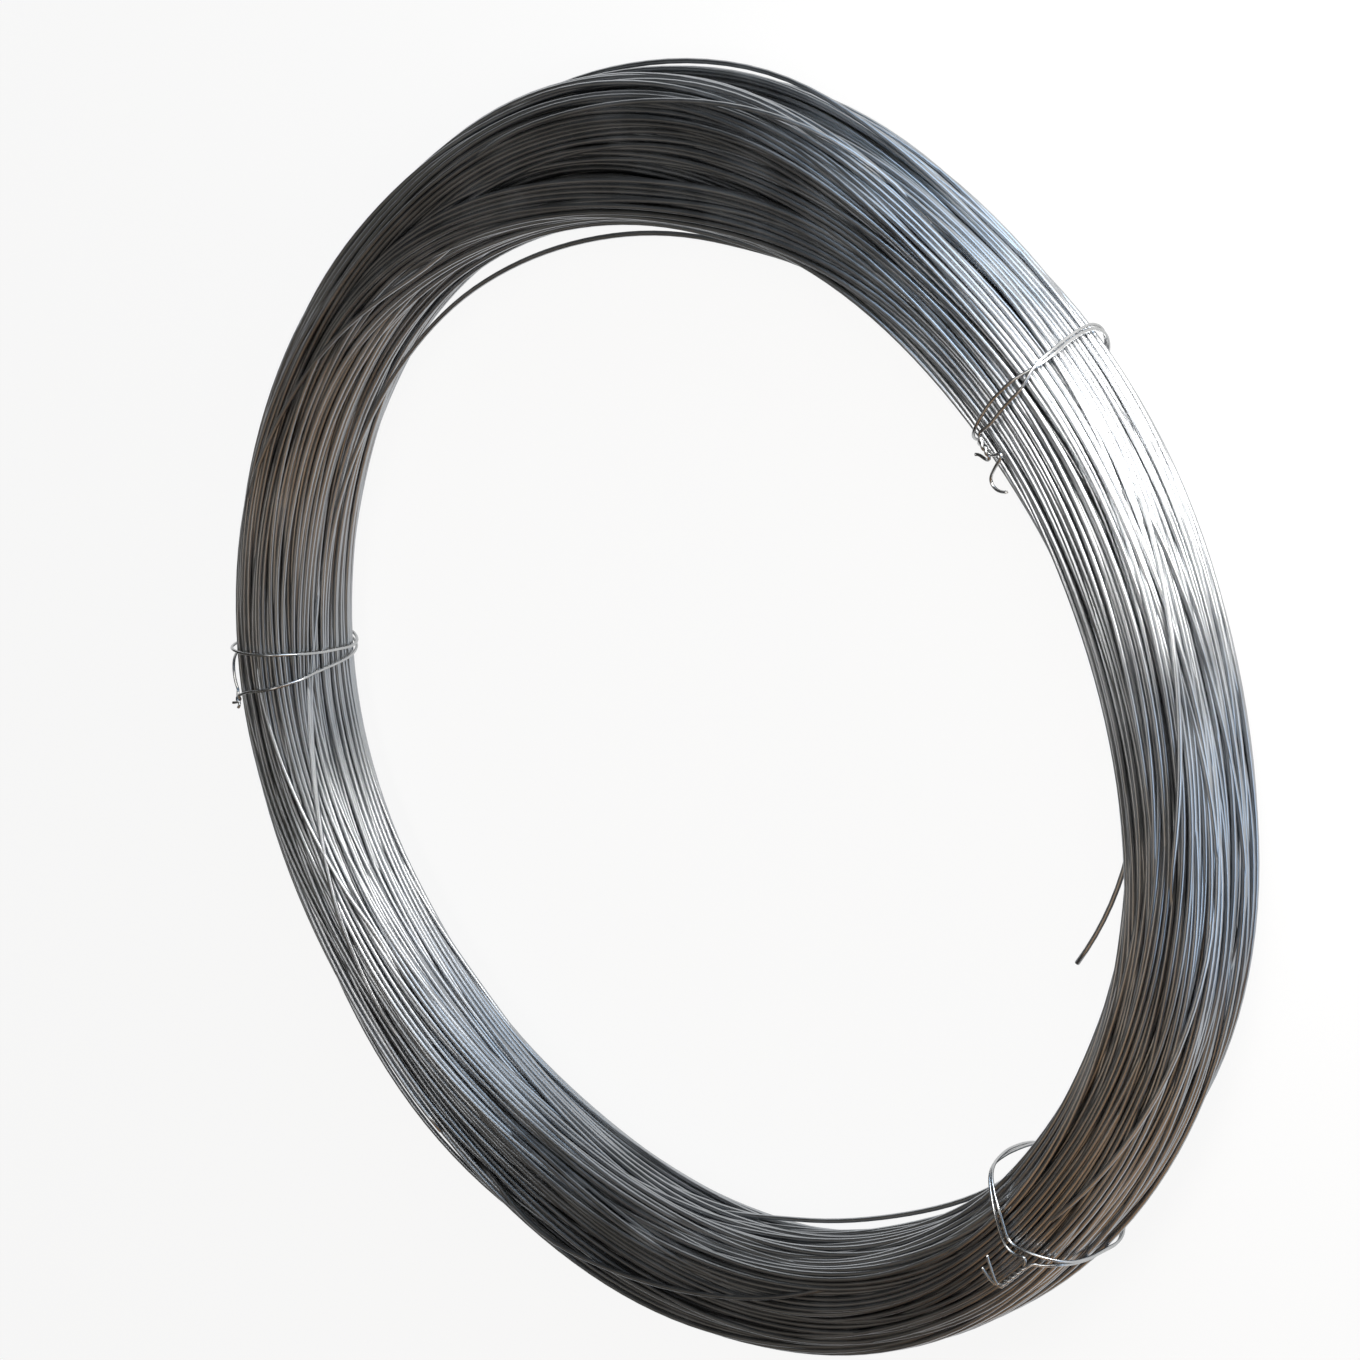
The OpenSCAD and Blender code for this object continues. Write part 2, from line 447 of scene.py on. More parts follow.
    def _hollow(self, angles: Array, x: Array, y: Array) -> Array:
        """Give the depth of the long hollows between strands, which fade out at the ties.

        Args:
            angles: Ring angle of each column.
            x: Outward place of each point from the section's middle.
            y: Upward place of each point from the section's middle.

        Returns:
            The depth at each point.
        """
        free = np.ones_like(angles)
        for tie in self.tie_angles:
            free = free - swell(angles, tie, self.hollow_reach)
        way = np.arctan2(y, x)
        turn = np.radians(angles)
        depth = np.zeros_like(x)
        for size, waves, twist, phase in self.lumps:
            depth = depth + size * np.cos(waves * way + twist * turn + phase)
        depth = np.maximum(depth, 0.0)
        for size, waves, twist, phase in self.grooves:
            wave = np.maximum(np.cos(waves * way + twist * turn + phase), 0.0)
            depth = depth + size * wave ** self.groove_power
        return depth * np.clip(free, 0.0, 1.0)


class LooseShape(Enum):
    """How a loose run leaves the bundle."""

    BOW = "bow"
    SPRUNG_END = "sprung end"


@dataclass(frozen=True)
class LooseRun:
    """A turn that leaves the bundle: its side and height, and how far it stands off, round the ring."""

    side: Side
    up: float
    stand: float
    centre: float
    reach: float
    lift: float = 0.0
    shape: LooseShape = LooseShape.BOW
    inset: float = 1.4
    # Greatest stand of a sprung end, as a share of its stand at the centre, and how it curves.
    spring: float = 1.3
    spring_power: float = 1.3
    # Near the seam the run dives among the other turns, by this share and over this angle.
    dive_share: float = 0.75
    dive_reach: float = 44.0

    def route(self, section: BundleSection, angles: Array, spare: float = 0.0) -> tuple[Array, Array, Array]:
        """Give the run's place in the section.

        Args:
            section: The bundle that it leaves.
            angles: Ring angles in degrees.
            spare: Angle by which a cut end is left too long.

        Returns:
            Outward place, upward place, and whether the wire is there at all, by angle.
        """
        there = np.ones(angles.shape, bool)
        away = swell(angles, self.centre, self.reach)
        if self.shape is LooseShape.SPRUNG_END:
            past = (angles - SEAM) % 360.0 - (self.centre - SEAM) % 360.0
            there = past >= -spare
            away = np.clip(1.0 - past / self.reach, 0.0, self.spring) ** self.spring_power
        u = section.edge(angles, self.side) + self.side.value * (self.stand * away - self.inset)
        v = self.up + self.lift * away
        shown = 1.0 - self.dive_share * swell(angles, SEAM, self.dive_reach)
        return u * shown, v * shown, there


@dataclass(frozen=True)
class CrossingRun:
    """A turn that crosses over others on the bundle's surface, and goes under them at both ends.

    Its start and end are directions in the section, in degrees: 0 is outward and 90 is up.
    """

    centre: float
    reach: float
    start: float
    end: float
    inset: float = 1.0
    # Angle and depth of the dive at each end, in which the run goes on across a little further.
    dive: float = 16.0
    depth: float = 8.0
    farthest: float = 1.5

    def route(self, section: BundleSection, angles: Array, spare: float = 0.0) -> tuple[Array, Array, Array]:
        """Give the run's place in the section.

        Args:
            section: The bundle that it crosses.
            angles: Ring angles in degrees.
            spare: Angle by which both ends are left too long.

        Returns:
            Outward place, upward place, and whether the wire is there at all, by angle.
        """
        past = (angles - self.centre + 180.0) % 360.0 - 180.0
        under = np.clip((np.abs(past) - self.reach) / self.dive, 0.0, 1.0)
        along = np.clip(past / self.reach, -self.farthest, self.farthest)
        ways = (self.start + self.end) / 2 + along * (self.end - self.start) / 2
        u, v = section.surface(angles, ways, self.inset + self.depth * smooth_step(under))
        return u, v, np.abs(past) <= self.reach + self.dive + spare


@dataclass
class Winding:
    """The turns of one wire, laid in layers and settled against each other."""

    wire: Wire
    section: BundleSection
    loose: tuple[LooseRun | CrossingRun, ...]
    turns: int = 372
    stations: int = 120
    band_turns: int = 4
    # Shares of the ring at which a turn starts to move to the next one's place, and over which it does.
    step_start: float = 0.3
    step_length: float = 0.4
    strand_turns: int = 12
    # Share of a strand over which its wander gives way to the next strand's.
    strand_change: float = 0.35
    strand_wander: tuple[float, ...] = (3.8, 3.2, 2.6, 1.8, 0.9)
    turn_wander: tuple[float, ...] = (0.35, 0.3, 0.25, 0.2, 0.12)
    rounds: int = 260
    # Rounds from one look for neighbours to the next, and how many wire diameters away they may be.
    refresh: int = 12
    near: float = 1.5
    push: float = 1.05
    # Share of bends that is evened out in a round, and in each of the last ones.
    ease: float = 0.6
    last_ease: float = 0.25
    straightening: int = 4
    # A turn covers another from at least this far in front, and at most so many wire diameters aside.
    cover_lead: float = 0.1
    cover_half: float = 0.45
    # Stations that are kept past the last one seen, and the fewest points of a run.
    margin: int = 3
    shortest: int = 4
    seed: int = 7

    def __post_init__(self) -> None:
        """Prepare the ring's stations and the random numbers, and lay the turns."""
        self.share = np.arange(self.stations) / self.stations
        self.angles = (SEAM + self.share * 360.0) % 360.0
        self.random = np.random.default_rng(self.seed)
        self._lay()

    def _places(self) -> Array:
        """Lay places for the turns in bands across the section, so that turns close in order lie close by.

        Returns:
            Outward and upward place of each turn's start, and of the last one's end.
        """
        box = self.section
        area = 4 * box.half_width * box.half_height - (4 - math.pi) * box.corner ** 2
        pitch = math.sqrt(area / self.turns)
        across = np.arange(-box.half_width + pitch / 2, box.half_width, pitch)
        along = np.arange(-box.half_height + pitch / 2, box.half_height, pitch)
        places = []
        for i, band in enumerate(np.array_split(across, round(len(across) / self.band_turns))):
            for j, y in enumerate(along[::-1 if i % 2 else 1]):
                for x in band[::-1 if j % 2 else 1]:
                    over_x = max(0.0, abs(x) - box.half_width + box.corner)
                    over_y = max(0.0, abs(y) - box.half_height + box.corner)
                    if math.hypot(over_x, over_y) < box.corner:
                        places.append((x, y))
        # The last is read just short of the end, where there is still a next place.
        at = np.linspace(0, len(places) - 1.001, self.turns + 1)
        low = at.astype(int)
        part = (at - low)[:, None]
        spots = np.array(places)
        return spots[low] * (1 - part) + spots[low + 1] * part

    def _drift(self, group: int, sharp: float, sizes: tuple[float, ...]) -> Array:
        """Make a smooth wander round the ring that changes slowly from turn to turn.

        Args:
            group: Number of turns that wander together.
            sharp: Share of a group over which one group gives way to the next.
            sizes: Amount of wander with one, two and more waves round the ring.

        Returns:
            Offset of each turn at each station.
        """
        turn = self.share * 2 * math.pi
        total = np.zeros((self.turns, self.stations))
        at = (np.arange(self.turns + 1) + 0.5) / group
        low = at.astype(int)
        part = smooth_step(np.clip((at - low - 0.5) / sharp + 0.5, 0, 1))
        for wave, size in enumerate(sizes, 1):
            for shape in (np.cos(wave * turn), np.sin(wave * turn)):
                knots = self.random.normal(size=low.max() + 2)
                amount = knots[low] * (1 - part) + knots[low + 1] * part
                total += size * shape * (amount[:-1, None] * (1 - self.share) + amount[1:, None] * self.share)
        return total

    def _lay(self) -> None:
        """Lay the turns: their places, then the wander of strands and of single turns."""
        places = self._places()
        step = smooth_step(np.clip((self.share - self.step_start) / self.step_length, 0, 1))
        paths = []
        for axis in (0, 1):
            start = places[:-1, axis][:, None]
            end = places[1:, axis][:, None]
            path = start * (1 - step) + end * step
            path = path + self._drift(self.strand_turns, self.strand_change, self.strand_wander)
            paths.append(path + self._drift(1, 1.0, self.turn_wander))
        wide, tall, out, lift = self.section.sizes(self.angles)
        self.u = paths[0] * wide / self.section.half_width + out
        self.v = paths[1] * tall / self.section.half_height + lift
        self.there = np.ones(self.u.shape, bool)
        for row, run in enumerate(self.loose):
            place = run.route(self.section, self.angles, 360.0 / self.stations)
            self.u[row], self.v[row], self.there[row] = place

    def _neighbours(self, reach: float) -> tuple[Array, Array]:
        """List the pairs of turns that lie near each other at each station.

        Args:
            reach: Greatest distance between the two.

        Returns:
            Flat indices of the first and second turn of each pair.
        """
        first = []
        second = []
        off = FAR_OFF * np.arange(1, self.turns + 1)
        for j in range(self.stations):
            x = np.where(self.there[:, j], self.u[:, j], off).astype(np.float32)
            y = self.v[:, j].astype(np.float32)
            near = (x[:, None] - x) ** 2 + (y[:, None] - y) ** 2 < reach * reach
            a, b = np.nonzero(np.triu(near, 1))
            first.append(a * self.stations + j)
            second.append(b * self.stations + j)
        return np.concatenate(first), np.concatenate(second)

    def _push_apart(self, u: Array, v: Array, first: Array, second: Array) -> None:
        """Move overlapping turns apart, in place.

        Args:
            u: Flat outward places.
            v: Flat upward places.
            first: First turn of each pair.
            second: Second turn of each pair.
        """
        dx = u[first] - u[second]
        dy = v[first] - v[second]
        apart = np.sqrt(dx * dx + dy * dy) + 1e-9
        hit = apart < self.wire.diameter
        a = first[hit]
        b = second[hit]
        share = 0.5 * (self.wire.diameter - apart[hit]) / apart[hit]
        px = share * dx[hit]
        py = share * dy[hit]
        size = len(u)
        count = np.bincount(a, minlength=size) + np.bincount(b, minlength=size)
        ease = self.push / np.sqrt(np.maximum(1, count))
        u += ease * (np.bincount(a, px, size) - np.bincount(b, px, size))
        v += ease * (np.bincount(a, py, size) - np.bincount(b, py, size))

    @staticmethod
    def _straighten(line: Array, share: float) -> None:
        """Even out bends along the wire by a share, in place, as stiff wire does."""
        even = (line[:-4] + line[4:] + 4 * (line[1:-3] + line[3:-1]) + 6 * line[2:-2]) / 16
        line[2:-2] += share * (even - line[2:-2])

    def settle(self) -> None:
        """Let the turns straighten, push apart and stay inside the outline."""
        aim_u = self.u.ravel().copy()
        aim_v = self.v.ravel().copy()
        held = len(self.loose)
        inset = self.wire.diameter / 2
        for step in range(self.rounds):
            if step % self.refresh == 0:
                first, second = self._neighbours(self.near * self.wire.diameter)
            ease = self.ease if step < self.rounds - self.refresh else self.last_ease
            u = self.u.ravel() - aim_u
            v = self.v.ravel() - aim_v
            for line in (u[held * self.stations:], v[held * self.stations:]):
                self._straighten(line, ease)
            u = aim_u + u
            v = aim_v + v
            self._push_apart(u, v, first, second)
            self._push_apart(u, v, first, second)
            self.u = u.reshape(self.u.shape)
            self.v = v.reshape(self.v.shape)
            away, nx, ny = self.section.overrun(self.angles, self.u, self.v, inset)
            self.u -= np.maximum(away, 0) * nx
            self.v -= np.maximum(away, 0) * ny
            for row, run in enumerate(self.loose):
                self.u[row], self.v[row], _ = run.route(self.section, self.angles)
        for line in (self.u[held:].reshape(-1), self.v[held:].reshape(-1)):
            for _ in range(self.straightening):
                self._straighten(line, 1.0)
        LOG.info("settled %d turns, %d held", self.turns, held)

    def exposed(self, looks: int = 24) -> Array:
        """Find where each turn can be seen from outside the bundle.

        Args:
            looks: Number of directions to look from.

        Returns:
            True where the turn at a station has at most one turn in front of it some way.
        """
        seen = np.zeros(self.u.shape, bool)
        ways = np.arange(looks) * 2 * math.pi / looks
        half = self.cover_half * self.wire.diameter
        for j in range(self.stations):
            x = np.where(self.there[:, j], self.u[:, j], FAR_OFF).astype(np.float32)
            y = self.v[:, j].astype(np.float32)
            dx = x[None] - x[:, None]
            dy = y[None] - y[:, None]
            for way in ways:
                ahead = dx * math.cos(way) + dy * math.sin(way)
                aside = np.abs(dy * math.cos(way) - dx * math.sin(way))
                blocked = np.count_nonzero((ahead > self.cover_lead) & (aside < half), axis=1)
                seen[:, j] |= blocked <= 1
        return seen

    def runs(self, per_turn: int) -> tuple[list[Array], list[float]]:
        """Cut the wire into the runs that can be seen, as points in space.

        Args:
            per_turn: Number of points in a full turn.

        Returns:
            The runs' points and a shade for each.
        """
        keep = (self.exposed() & self.there).ravel()
        for _ in range(self.margin):
            keep = keep | np.r_[keep[1:], False] | np.r_[False, keep[:-1]]
        keep &= self.there.ravel()
        at = np.arange(self.turns * per_turn) * self.stations / per_turn
        u, v = (read_through(line, at) for line in (self.u.ravel(), self.v.ravel()))
        turn = at / self.stations * 2 * math.pi + math.radians(SEAM)
        r = self.section.mean_radius + u
        space = np.c_[r * np.cos(turn), r * np.sin(turn), self.section.middle + v]
        kept = keep[at.astype(int)]
        # A loose run is cut at its exact end, and isn't joined to the next one.
        for row, run in enumerate(self.loose):
            span = slice(per_turn * row, per_turn * (row + 1))
            kept[span] &= run.route(self.section, np.degrees(turn[span]) % 360.0)[2]
            kept[span.stop - 1] = False
        edges = np.flatnonzero(np.diff(np.r_[0, kept.astype(int), 0]))
        runs = []
        shades = []
        tints = self.random.random(self.turns + 1)
        for start, end in zip(edges[::2], edges[1::2]):
            if end - start >= self.shortest:
                runs.append(space[start:end])
                shades.append(float(tints[start // per_turn]))
        return runs, shades


@dataclass
class CoilBundle:
    """The whole wire: its turns, shared out over a few pieces of joined mesh."""

    winding: Winding
    finish: ZincFinish
    per_turn: int = 168
    most_triangles: int = 185000

    def _batches(self, runs: list[Array]) -> list[list[int]]:
        """Share the runs out over pieces, none of which has too many triangles.

        Args:
            runs: Points of each run.

        Returns:
            Numbers of the runs in each piece.
        """
        sides = self.winding.wire.sides
        batches: list[list[int]] = [[]]
        count = 0
        for i, run in enumerate(runs):
            size = (len(run) - 1) * sides * 2 + 2 * (sides - 2)
            if count + size > self.most_triangles:
                batches.append([])
                count = 0
            batches[-1].append(i)
            count += size
        return batches

    def build(self) -> None:
        """Make and dress the pieces."""
        self.winding.settle()
        runs, shades = self.winding.runs(self.per_turn)
        material = self.finish.material()
        for number, batch in enumerate(self._batches(runs), 1):
            name = f"wire_turns_{number}"
            piece = self.winding.wire.mesh(name, [runs[k] for k in batch], [shades[k] for k in batch])
            piece.data.materials.append(material)
            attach(piece, "root")
            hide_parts("wire_coil")
            LOG.info("%s: %d runs", name, len(batch))


class TwistWay(Enum):
    """Way along the ring that a tie's twisted ends run."""

    FORWARD = 1
    BACKWARD = -1


@dataclass
class TieWire:
    """A soft wire wrapped twice round the bundle, its ends twisted together.

    A place on the tie has up to three parts. The first is its share of the way round the bundle's
    outline, from the middle of the outer side over the top: 0.25 is the top, 0.5 the eye's wall, 0.75
    the underside, and a second wrap counts on past 1. The second is its distance along the ring from the
    knot, and the third, where there is one, its rise off the outline. A tail's places are distances from
    the twist's end.
    """

    name: str
    node: str
    wire: Wire
    section: BundleSection
    angle: float
    way: TwistWay
    knot: float
    half_turns: int
    pitch: float
    wraps: tuple[tuple[float, ...], ...]
    tails: tuple[tuple[Place, ...], ...]
    lead: float = 3.6
    gap: float = 0.25
    # Distance of each strand from the twist's middle, in wire diameters.
    spread: float = 0.56
    # Points in half a turn of the twist and between a tail's places, and their distance on the wraps.
    half_turn_steps: int = 8
    tail_steps: int = 4
    grain: float = 1.5
    # Rounds of bending softly, first of the wraps' places and then of the whole path.
    rounding: int = 6
    path_rounding: int = 2

    def __post_init__(self) -> None:
        """Work out the tie's own length round the bundle and the twisted strands' distance."""
        self.room = self.gap + self.wire.diameter / 2
        self.bend = self.section.corner + self.room
        self.length = self._round_length(self.angle)
        self.half = self.spread * self.wire.diameter

    def _sides(self, angle: float) -> tuple[float, float, float, float]:
        """Give the half sizes and the shifts of the outline that the tie's middle follows."""
        wide, tall, out, lift = (float(x[0]) for x in self.section.sizes(np.array([angle])))
        return wide + self.room, tall + self.room, out, lift

    def _round_length(self, angle: float) -> float:
        """Length once round the outline at a ring angle."""
        wide, tall, _, _ = self._sides(angle)
        return 4 * (wide + tall - 2 * self.bend) + 2 * math.pi * self.bend

    def _space(self, share: float, slide: float, rise: float) -> Place:
        """Turn a place on the tie into a point in space.

        Args:
            share: Share of the way round the outline.
            slide: Distance along the ring from the tie's angle.
            rise: Distance off the outline.

        Returns:
            The point, in millimetres.
        """
        angle = self.angle + math.degrees(slide / self.section.mean_radius)
        wide, tall, out, lift = self._sides(angle % 360.0)
        quarter = self._round_length(angle % 360.0) / 4
        k = int(share % 1.0 * 4)
        part = (share % 1.0 * 4 - k) * quarter
        if k % 2:
            part = quarter - part
        up = tall - self.bend
        arc = math.pi * self.bend / 2
        spin = min(max(part - up, 0.0), arc) / self.bend
        nx = math.cos(spin)
        ny = math.sin(spin)
        x = wide - self.bend + self.bend * nx - max(part - up - arc, 0.0)
        y = min(part, up) + self.bend * ny
        sx = 1 if k in (0, 3) else -1
        sy = 1 if k < 2 else -1
        r = self.section.mean_radius + out + sx * (x + rise * nx)
        z = self.section.middle + lift + sy * (y + rise * ny)
        turn = math.radians(angle)
        return r * math.cos(turn), r * math.sin(turn), z

    def _wrap_route(self) -> list[Place]:
        """Follow the two wraps from knot to knot, with corners rounded as soft wire bends.

        Returns:
            Distance round the outline, distance along the ring and rise of each point.
        """
        way = self.way.value * self.half
        places = [(self.knot, way), *self.wraps, (self.knot + 2, -way)]
        marks = np.array([(*place, 0.0)[:3] for place in places])
        marks[:, 0] *= self.length
        marks[0, 0] += self.lead
        marks[-1, 0] -= self.lead
        steps = np.r_[0.0, np.cumsum(np.linalg.norm(np.diff(marks, axis=0), axis=1))]
        at = np.linspace(0.0, steps[-1], round(steps[-1] / self.grain))
        route = np.stack([np.interp(at, steps, marks[:, k]) for k in range(3)], axis=1)
        for _ in range(self.rounding):
            route[1:-1] += 0.5 * ((route[:-2] + route[2:]) / 2 - route[1:-1])
        return [tuple(place) for place in route]

    def _end_route(self, side: int, tail: tuple[Place, ...]) -> list[Place]:
        """Follow one end of the wire from its wrap through the twist to its tail.

        Args:
            side: 1 for the first wrap's end, -1 for the last one's.
            tail: The tail's places.

        Returns:
            Distance round the outline, distance along the ring and rise of each point.
        """
        half = self.half
        run = []
        # The wire bends from its wrap into the twist along a quadratic curve.
        for u in (0.85, 0.65, 0.45, 0.25, 0.1):
            a, b, c = (1 - u) ** 2, 2 * u * (1 - u), u * u
            run.append((side * (a * half + b * half + c * self.lead),
                        a * self.lead + b * side * half + c * side * half,
                        a * half + b * half / 2))
        turn_steps = 2 * self.half_turn_steps
        for i in range(self.half_turns * self.half_turn_steps + 1):
            spin = side * math.pi / 2 + 2 * math.pi * i / turn_steps
            along = self.lead + self.pitch * i / turn_steps
            run.append((half * math.sin(spin), along, half * (1 + math.cos(spin))))
        start = np.array(run[-1])
        marks = np.array([start, *(start + np.array(step) for step in tail)])
        at = np.arange(1, self.tail_steps * (len(marks) - 1) + 1) / self.tail_steps
        for place in np.stack([read_through(marks[:, k], at) for k in range(3)], axis=1):
            run.append(tuple(place))
        base = self.knot * self.length
        return [(base + s, self.way.value * along, rise) for s, along, rise in run]

    def build(self, material: bpy.types.Material) -> None:
        """Make and dress the tie.

        Args:
            material: The tie wire's finish.
        """
        first, last = (self._end_route(side, tail) for side, tail in zip((1, -1), self.tails))
        route = first[::-1] + self._wrap_route() + last
        path = np.array([self._space(s / self.length, slide, rise) for s, slide, rise in route])
        for _ in range(self.path_rounding):
            path[1:-1] += 0.3 * ((path[:-2] + path[2:]) / 2 - path[1:-1])
        path[:, 2] = np.maximum(path[:, 2], self.wire.diameter / 2)
        piece = self.wire.mesh(self.name, [path], [0.5])
        piece.data.materials.append(material)
        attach(piece, "root")
        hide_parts(self.node)
        LOG.info("%s: %d points", self.name, len(path))


def right_tie(wire: Wire, section: BundleSection) -> TieWire:
    """Shape the tie whose two strands part on the top, with a knot and a curled tail at the eye's edge.

    Args:
        wire: The tie wire.
        section: The bundle that it binds.

    Returns:
        The tie.
    """
    wraps = (
        (0.40, -1.0), (0.50, -1.5), (0.62, -1.5), (0.75, -1.0), (0.80, 0.5), (0.86, 4.5, 0.8),
        (0.90, 8.0, 1.4), (0.93, 9.8, 1.0), (0.963, 9.8, 0.3), (1.012, 8.4), (1.073, 5.6), (1.109, 4.4),
        (1.131, 4.4), (1.150, 5.2), (1.182, 6.3), (1.222, 6.7), (1.261, 6.9), (1.289, 5.8), (1.322, 4.4),
        (1.36, 3.4, 0.3), (1.45, 2.4), (1.55, 1.8), (1.62, 1.5), (1.75, 1.2), (1.80, 2.7), (1.86, 6.6, 0.8),
        (1.90, 10.0, 1.6), (1.93, 11.8, 1.2), (1.963, 11.5, 0.4), (2.012, 10.1), (2.073, 7.3),
        (2.109, 6.0, 0.8), (2.130, 5.0, 1.7), (2.147, 3.6, 1.7), (2.172, 0.8, 0.4), (2.227, 1.0),
        (2.269, 0.4), (2.296, -0.6))
    hook = ((1.5, 1.0, 0.2), (3.5, 0.6, 0.6), (5.2, -1.2, 1.0), (6.2, -3.4, 1.5), (7.6, -5.2, 2.2),
            (8.0, -6.2, 3.2))
    curl = ((-2.0, 1.5, 0.3), (-5.0, 2.8, 0.5), (-7.4, 4.2, 0.6), (-5.6, 5.6, 0.7), (-1.7, 6.2, 0.8),
            (3.0, 6.8, 1.3), (6.4, 7.4, 2.3), (8.7, 8.6, 3.5), (9.4, 11.2, 4.2), (8.6, 14.6, 3.6),
            (6.2, 17.2, 2.2), (3.4, 18.8, 1.2))
    return TieWire("tie_wire_right", "tie_wire_1", wire, section, angle=287.0, way=TwistWay.BACKWARD,
                   knot=0.345, half_turns=2, pitch=6.4, wraps=wraps, tails=(hook, curl))


def left_tie(wire: Wire, section: BundleSection) -> TieWire:
    """Shape the tie whose two strands make a V, and whose end runs along the outer edge to a short knot.

    Args:
        wire: The tie wire.
        section: The bundle that it binds.

    Returns:
        The tie.
    """
    wraps = (
        (0.215, -0.8), (0.241, -1.9), (0.289, -3.0), (0.336, -5.2), (0.366, -6.3), (0.400, -7.5),
        (0.443, -9.0), (0.494, -9.6), (0.543, -10.3), (0.609, -12.2, 0.2), (0.654, -14.2, 0.9),
        (0.70, -16.5, 0.8), (0.76, -18.5), (0.86, -19.0), (0.92, -19.2), (1.00, -20.0), (1.08, -21.0),
        (1.13, -21.3, 0.7), (1.157, -21.4, 1.3), (1.195, -21.5, 0.3), (1.234, -21.6), (1.338, -23.2),
        (1.396, -22.6), (1.487, -19.2), (1.544, -18.0), (1.613, -16.6, 0.3), (1.653, -17.2, 1.4),
        (1.70, -20.0, 1.0), (1.76, -21.5), (1.86, -21.5), (1.92, -20.6, 0.8), (1.97, -19.6, 1.7),
        (2.03, -18.6, 1.7), (2.09, -17.2, 1.0), (2.125, -15.0, 0.8), (2.146, -12.0, 0.9),
        (2.156, -8.5, 1.0), (2.160, -5.5, 0.9), (2.163, -3.0, 0.6))
    prong = ((-1.3, 0.5, 0.7), (-2.5, 0.8, 1.6), (-3.3, 0.9, 2.6))
    stub = ((0.5, 0.9, 0.3), (0.4, 1.8, 0.6), (-0.2, 2.6, 1.0))
    return TieWire("tie_wire_left", "tie_wire_2", wire, section, angle=68.5, way=TwistWay.FORWARD,
                   knot=0.18, half_turns=1, pitch=5.0, wraps=wraps, tails=(prong, stub), lead=2.2)


def low_tie(wire: Wire, section: BundleSection) -> TieWire:
    """Shape the slack tie that stands off the eye's wall, with a long twist and two open tails.

    Args:
        wire: The tie wire.
        section: The bundle that it binds.

    Returns:
        The tie.
    """
    wraps = (
        (0.200, -3.0), (0.220, -5.4), (0.243, -6.5), (0.272, -4.2), (0.306, -0.1), (0.344, 1.6),
        (0.367, 2.4, 0.7), (0.395, 3.2, 2.9), (0.43, 3.6, 4.7), (0.48, 3.6, 5.4), (0.54, 3.6, 4.6),
        (0.60, 3.6, 2.2), (0.66, 4.0, 0.4), (0.75, 5.4), (0.82, 6.4), (0.88, 7.0, 0.2), (0.93, 7.2),
        (0.96, 7.2, -0.4), (0.99, 7.3, -0.5), (1.03, 7.6, -0.5), (1.069, 8.2, -1.9), (1.123, 8.6, -1.4),
        (1.164, 7.0), (1.198, 3.0), (1.231, -2.1), (1.249, -3.0), (1.279, 0.5), (1.311, 4.1), (1.347, 4.6),
        (1.367, 5.0, 0.7), (1.395, 5.2, 2.9), (1.43, 5.2, 4.9), (1.48, 4.6, 6.9), (1.54, 3.2, 6.3),
        (1.60, 2.0, 3.0), (1.66, 2.2, 0.4), (1.75, 3.6), (1.82, 4.6), (1.88, 5.2, 0.2), (1.93, 5.4),
        (1.96, 5.4, -0.4), (1.99, 5.5, -0.5), (2.03, 5.8, -0.5), (2.069, 6.4, -1.9), (2.117, 6.4, -1.4),
        (2.149, 2.9))
    inward = ((1.5, 0.6, 0.3), (4.5, -0.6, 0.9), (9.5, -3.2, 1.6), (15.5, -6.2, 2.2))
    onward = ((1.2, 1.2, 0.4), (3.5, 1.6, 1.0), (7.0, 1.2, 1.8), (10.6, 0.4, 2.6))
    return TieWire("tie_wire_low", "tie_wire_3", wire, section, angle=200.0, way=TwistWay.BACKWARD,
                   knot=0.18, half_turns=5, pitch=7.6, wraps=wraps, tails=(inward, onward))


@dataclass(frozen=True)
class SoftBox:
    """A flat, rectangular studio light."""

    name: str
    place: Place
    target: Place
    size: tuple[float, float]
    watts: float
    colour: str = "#FFFFFF"

    def build(self) -> None:
        """Hang the light and point it."""
        light = bpy.data.lights.new(self.name, "AREA")
        light.shape = "RECTANGLE"
        light.size, light.size_y = self.size
        light.energy = self.watts
        light.color = linear(self.colour)[:3]
        lamp = bpy.data.objects.new(self.name, light)
        way = Vector(self.target) - Vector(self.place)
        lamp.matrix_world = Matrix.Translation(self.place) @ way.to_track_quat("-Z", "Y").to_matrix().to_4x4()
        lamp.visible_camera = False
        bpy.context.scene.collection.objects.link(lamp)


